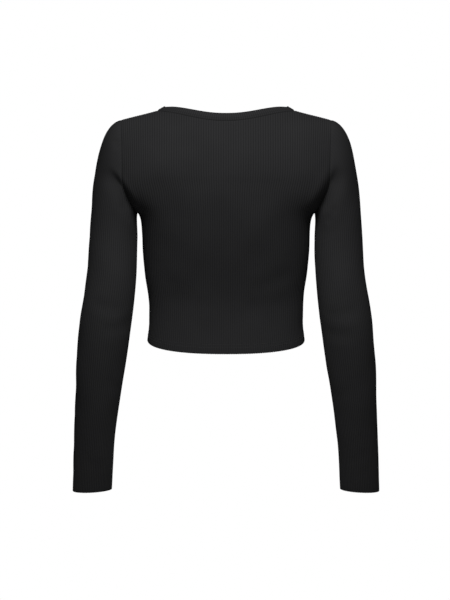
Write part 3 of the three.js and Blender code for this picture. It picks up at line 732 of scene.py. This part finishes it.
def make_hem_thread(name, side):
    """Two rows of stitches that hold the turned-up hem, each stitch a short bent length of thread."""
    bpy.ops.object.select_all(action="DESELECT")
    length = STITCH_LENGTH * MM
    bpy.ops.mesh.primitive_cylinder_add(vertices=6, radius=STITCH_RADIUS * MM, depth=length)
    first = bpy.context.object
    bpy.ops.object.mode_set(mode="EDIT")
    bpy.ops.mesh.select_all(action="SELECT")
    bpy.ops.transform.rotate(value=math.pi / 2, orient_axis="Y", center_override=(0, 0, 0))
    bpy.ops.mesh.bisect(plane_co=(0, 0, 0), plane_no=(1, 0, 0))
    bpy.ops.object.mode_set(mode="OBJECT")
    for vertex in first.data.vertices:
        end = abs(vertex.co.x) / (length / 2)
        vertex.co.z -= STITCH_SAG * MM * end * end
        vertex.co.y *= 1 - STITCH_TAPER * end
    hem_height = UNDERARM_Z - HEM_Z
    copies = []
    for above in STITCH_HEIGHTS:
        across = np.linspace(-STITCH_ROW, STITCH_ROW, STITCH_STOPS)
        row = panel_points(side, across, np.array(-1 + above / hem_height))
        over = panel_points(side, across, np.array(-1 + (above + LOOK_AHEAD) / hem_height))
        along = lengths_along(row, 0)
        out = grid_normals(np.stack([row, over]), False)[0] * side["facing"] * -1
        tangent = unit(np.gradient(row, axis=0))
        for goal in np.arange(STITCH_PITCH / 2, along[-1], STITCH_PITCH):
            i = int(np.searchsorted(along, goal))
            x, z = Vector(tangent[i]), Vector(out[i])
            y = z.cross(x)
            place = Vector((row[i] + out[i] * STITCH_LIFT) * MM)
            turn = Matrix((x, y, z)).transposed().to_4x4()
            stitch = first.copy()
            stitch.data = first.data.copy()
            stitch.data.transform(Matrix.Translation(place) @ turn)
            bpy.context.collection.objects.link(stitch)
            copies.append(stitch)
    bpy.data.objects.remove(first)
    for stitch in copies:
        stitch.select_set(True)
    bpy.context.view_layer.objects.active = copies[0]
    bpy.ops.object.join()
    thread = bpy.context.object
    thread.name = thread.data.name = name
    bpy.ops.object.shade_smooth_by_angle(angle=SHADE_ANGLE)
    return thread


class Value:
    """A number that varies over a surface, read from a node's socket."""

    def __init__(self, shader, socket):
        self.shader = shader
        self.socket = socket

    def math(self, operation, *numbers):
        sockets = {i: n.socket if isinstance(n, Value) else n for i, n in enumerate(numbers)}
        node = self.shader.node("ShaderNodeMath", {"operation": operation}, sockets)
        return Value(self.shader, node.outputs[0])

    def __add__(self, other):
        return self.math("ADD", self, other)

    def __radd__(self, other):
        return self.math("ADD", other, self)

    def __sub__(self, other):
        return self.math("SUBTRACT", self, other)

    def __rsub__(self, other):
        return self.math("SUBTRACT", other, self)

    def __mul__(self, other):
        return self.math("MULTIPLY", self, other)

    def __rmul__(self, other):
        return self.math("MULTIPLY", other, self)

    def __pow__(self, other):
        return self.math("POWER", self, other)

    def __abs__(self):
        return self.math("ABSOLUTE", self)

    def mapped(self, low, high, to_low, to_high):
        sockets = {"Value": self, "From Min": low, "From Max": high}
        sockets.update({"To Min": to_low, "To Max": to_high})
        return Value(self.shader, self.shader.node("ShaderNodeMapRange", sockets=sockets).outputs[0])

    def part(self):
        return self.math("FRACT", self)

    def swing(self):
        return self.math("SINE", self)


class Shader:
    """A material and its nodes."""

    def __init__(self, name):
        self.material = bpy.data.materials.new(name)
        self.material.use_nodes = True
        self.tree = self.material.node_tree
        self.surface = self.tree.nodes["Principled BSDF"]

    def node(self, kind, settings=None, sockets=None):
        made = self.tree.nodes.new(kind)
        for key, setting in (settings or {}).items():
            setattr(made, key, setting)
        for key, value in (sockets or {}).items():
            self.feed(made.inputs[key], value)
        return made

    def feed(self, socket, value):
        if isinstance(value, Value):
            value = value.socket
        if isinstance(value, bpy.types.NodeSocket):
            self.tree.links.new(value, socket)
        else:
            socket.default_value = value

    def noise(self, scale):
        """Noise over the piece, finer with a larger scale."""
        where = self.node("ShaderNodeTexCoord").outputs["Object"]
        made = self.node("ShaderNodeTexNoise", sockets={"Vector": where, "Scale": scale})
        return Value(self, made.outputs[0])

    def blend(self, share, low, high):
        mix = self.node("ShaderNodeMix", {"data_type": "RGBA"}, {0: share, 6: low, 7: high})
        return mix.outputs[2]


def knit_material(name, ribs, courses, crest, trough, relief, fades, calm=(1.0, 1.1)):
    """Rib knit: crests lighter and troughs darker with painted shade, flecked yarn and rows of small
    stitches. Each fade goes, between two shares of the piece's length, from one extra darkness to
    another, as painted light and shade along the piece, and on the band also a painted dark line. The
    ribs' painted shade grows calmer between two such shares."""
    shader = Shader(name)
    where = shader.node("ShaderNodeTexCoord")
    split = shader.node("ShaderNodeSeparateXYZ", sockets={"Vector": where.outputs["UV"]})
    across = Value(shader, split.outputs["X"])
    along = Value(shader, split.outputs["Y"])
    beside = abs((across * ribs).part() * 2 - 1)
    fleck = shader.noise(FLECK_SCALE)
    cloud = shader.noise(CLOUD_SCALE)
    strength = along.mapped(*calm, RIB_SHADE, CALM_RIB_SHADE)
    # extra is the painted light and shade along the piece, summed from its fades
    extra = sum(along.mapped(*fade) for fade in fades)
    loop = (along * (courses * 2 * math.pi) + beside * LOOP_SLANT).swing()
    # shade holds the troughs' painted shade, the fades' painted light and shade, yarn flecks, clouds
    # and stitch loops
    shade = beside**3 * strength + (extra + SHADE_OF_CRESTS) + (fleck - 0.5) * FLECK_SHADE
    shade = shade + (cloud - 0.5) * CLOUD_SHADE - loop * LOOP_SHADE
    surface = shader.surface
    shader.feed(surface.inputs["Base Color"], shader.blend(shade, crest, trough))
    shader.feed(surface.inputs["Roughness"], KNIT_ROUGHNESS + (fleck - 0.5) * FLECK_ROUGHNESS)
    height = loop * (1 - beside**3) * 0.5 + fleck * 0.5
    relief_sockets = {"Strength": relief, "Distance": KNIT_BUMP, "Height": height}
    bump = shader.node("ShaderNodeBump", sockets=relief_sockets)
    shader.feed(surface.inputs["Normal"], bump.outputs[0])
    surface.inputs["Specular IOR Level"].default_value = 0.0
    surface.inputs["Sheen Weight"].default_value = KNIT_SHEEN
    surface.inputs["Sheen Roughness"].default_value = 0.5
    return shader.material


def thread_material(name, colour):
    """Sewing thread with fine flecks of half its colour."""
    shader = Shader(name)
    fleck = shader.noise(THREAD_SCALE)
    dark = tuple(c * 0.5 for c in colour[:3]) + (1,)
    shader.feed(shader.surface.inputs["Base Color"], shader.blend(fleck, colour, dark))
    shader.feed(shader.surface.inputs["Roughness"], 0.5 + fleck * 0.3)
    return shader.material


def dress(piece, material, slot, *nodes):
    """Gives a piece its material and its place in the part, and hides the solids of the nodes that it
    stands for.
    """
    piece.data.materials.clear()
    piece.data.materials.append(material)
    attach(piece, "root")
    if nodes:
        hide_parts(*nodes)


def place_camera():
    data = bpy.data.cameras.new("camera")
    camera = bpy.data.objects.new("camera", data)
    bpy.context.collection.objects.link(camera)
    tilt = math.radians(CAMERA_TILT)
    way = Vector((0, math.cos(tilt), math.sin(tilt)))
    camera.location = Vector(CAMERA_TARGET) + way * CAMERA_DISTANCE
    camera.rotation_mode = "QUATERNION"
    camera.rotation_quaternion = (-way).to_track_quat("-Z", "Y")
    data.sensor_width = 36
    data.lens = CAMERA_LENS
    data.clip_end = 100
    bpy.context.scene.camera = camera
    bpy.context.scene.view_settings.view_transform = "Standard"


def place_light(name, place, target, size, power):
    data = bpy.data.lights.new(name, "AREA")
    data.shape = "DISK"
    data.size = size
    data.energy = power
    light = bpy.data.objects.new(name, data)
    bpy.context.collection.objects.link(light)
    light.location = place
    light.rotation_mode = "QUATERNION"
    light.rotation_quaternion = (Vector(target) - Vector(place)).to_track_quat("-Z", "Y")
    light.visible_camera = False


def light_room():
    """White surroundings for the camera, a weaker even light from them, and soft lights above."""
    world = bpy.data.worlds.new("room")
    bpy.context.scene.world = world
    world.use_nodes = True
    nodes, links = world.node_tree.nodes, world.node_tree.links
    nodes.clear()
    path = nodes.new("ShaderNodeLightPath")
    even = nodes.new("ShaderNodeBackground")
    even.inputs["Color"].default_value = (1, 1, 1, 1)
    even.inputs["Strength"].default_value = EVEN_LIGHT
    white = nodes.new("ShaderNodeBackground")
    white.inputs["Color"].default_value = (1, 1, 1, 1)
    white.inputs["Strength"].default_value = 1.0
    mix = nodes.new("ShaderNodeMixShader")
    out = nodes.new("ShaderNodeOutputWorld")
    links.new(path.outputs["Is Camera Ray"], mix.inputs[0])
    links.new(even.outputs[0], mix.inputs[1])
    links.new(white.outputs[0], mix.inputs[2])
    links.new(mix.outputs[0], out.inputs[0])
    place_light("light_above_back", (0, 1.35, 1.25), target=(0, 0, -0.2), size=0.8, power=38)
    place_light("light_above_front", (0, -2.0, 0.7), target=(0, 0, -0.25), size=1.0, power=30)


def lay_floor():
    bpy.ops.object.select_all(action="DESELECT")
    bpy.ops.mesh.primitive_circle_add(
        vertices=96, radius=FLOOR_RADIUS, fill_type="NGON", location=(0, 0, 0)
    )
    floor = bpy.context.object
    floor.name = floor.data.name = "floor"
    floor.data.transform(Matrix.Translation((0, 0, FLOOR_Z)))
    shader = Shader("floor_paint")
    pale = shader.blend(shader.noise(3.0), (0.8, 0.8, 0.8, 1), (0.84, 0.84, 0.83, 1))
    shader.feed(shader.surface.inputs["Base Color"], pale)
    shader.surface.inputs["Roughness"].default_value = 0.9
    floor.data.materials.append(shader.material)


place_camera()
light_room()
lay_floor()

# Colours of the knit, and fades along the pieces: from, to, extra darkness there and there. The fades
# are painted light and shade, and on the band also a painted dark line.
# The troughs' darker colour is painted shade in the ribs' hollows
CREST = (0.027, 0.027, 0.028, 1)
TROUGH = (0.015, 0.015, 0.0155, 1)
# Painted light: the panels' knit lighter towards the hem, where the flared hem faces the lights
PANEL_PAINTED_LIGHT = [(0.04, 0.24, -0.25, 0.0)]
# The sleeves' colours are a lighter copy of the panels', painted light on the upper arms
SLEEVE_CREST = (0.0295, 0.0295, 0.0305, 1)
SLEEVE_TROUGH = (0.0165, 0.0165, 0.017, 1)
# Painted light and shade: lighter up the sleeve and darker towards the cuff, then painted shade over
# the cap up to the armhole seam
SLEEVE_PAINTED_LIGHT_AND_SHADE = [(0.1, 0.8, 0.35, -0.3), (0.62, 0.85, 0.0, 0.6)]
SLEEVE_CALM = (0.7, 0.88)
BAND_CREST = (0.029, 0.029, 0.03, 1)
# painted shade at the band's seam, and a painted dark line a little above it
BAND_PAINTED_SHADE_AND_LINE = [(0.0, 0.06, 1.2, 0.0), (0.13, 0.155, 0.0, 0.7), (0.155, 0.18, 0.0, -0.7)]
THREAD = (0.028, 0.028, 0.029, 1)

panel_knit = knit_material(
    "panel_knit",
    ribs=PANEL_RIBS,
    courses=330,
    crest=CREST,
    trough=TROUGH,
    relief=0.3,
    fades=PANEL_PAINTED_LIGHT,
)
sleeve_knit = knit_material(
    "sleeve_knit",
    ribs=SLEEVE_RIBS,
    courses=500,
    crest=SLEEVE_CREST,
    trough=SLEEVE_TROUGH,
    relief=0.3,
    fades=SLEEVE_PAINTED_LIGHT_AND_SHADE,
    calm=SLEEVE_CALM,
)
band_knit = knit_material(
    "band_knit",
    ribs=BAND_STOPS / 2,
    courses=26,
    crest=BAND_CREST,
    trough=TROUGH,
    relief=0.4,
    fades=BAND_PAINTED_SHADE_AND_LINE,
)
black_thread = thread_material("black_thread", THREAD)

back = make_panel("back_cloth", BACK, BACK_CREASES, 0.0)
front = make_panel("front_cloth", FRONT, FRONT_CREASES, 1.3)
sleeve_left = make_sleeve("sleeve_left_cloth", 1, SLEEVE_CREASES["left"], 0.7)
sleeve_right = make_sleeve("sleeve_right_cloth", -1, SLEEVE_CREASES["right"], 2.2)
neckband = make_neckband()
hem_thread_back = make_hem_thread("hem_thread_back", BACK)
hem_thread_front = make_hem_thread("hem_thread_front", FRONT)

dress(back, panel_knit, "rib_knit", "back")
dress(front, panel_knit, "rib_knit", "front")
dress(sleeve_left, sleeve_knit, "rib_knit", "sleeve_left")
dress(sleeve_right, sleeve_knit, "rib_knit", "sleeve_right")
dress(neckband, band_knit, "band_knit", "neckband")
dress(hem_thread_back, black_thread, "rib_knit")
dress(hem_thread_front, black_thread, "rib_knit")
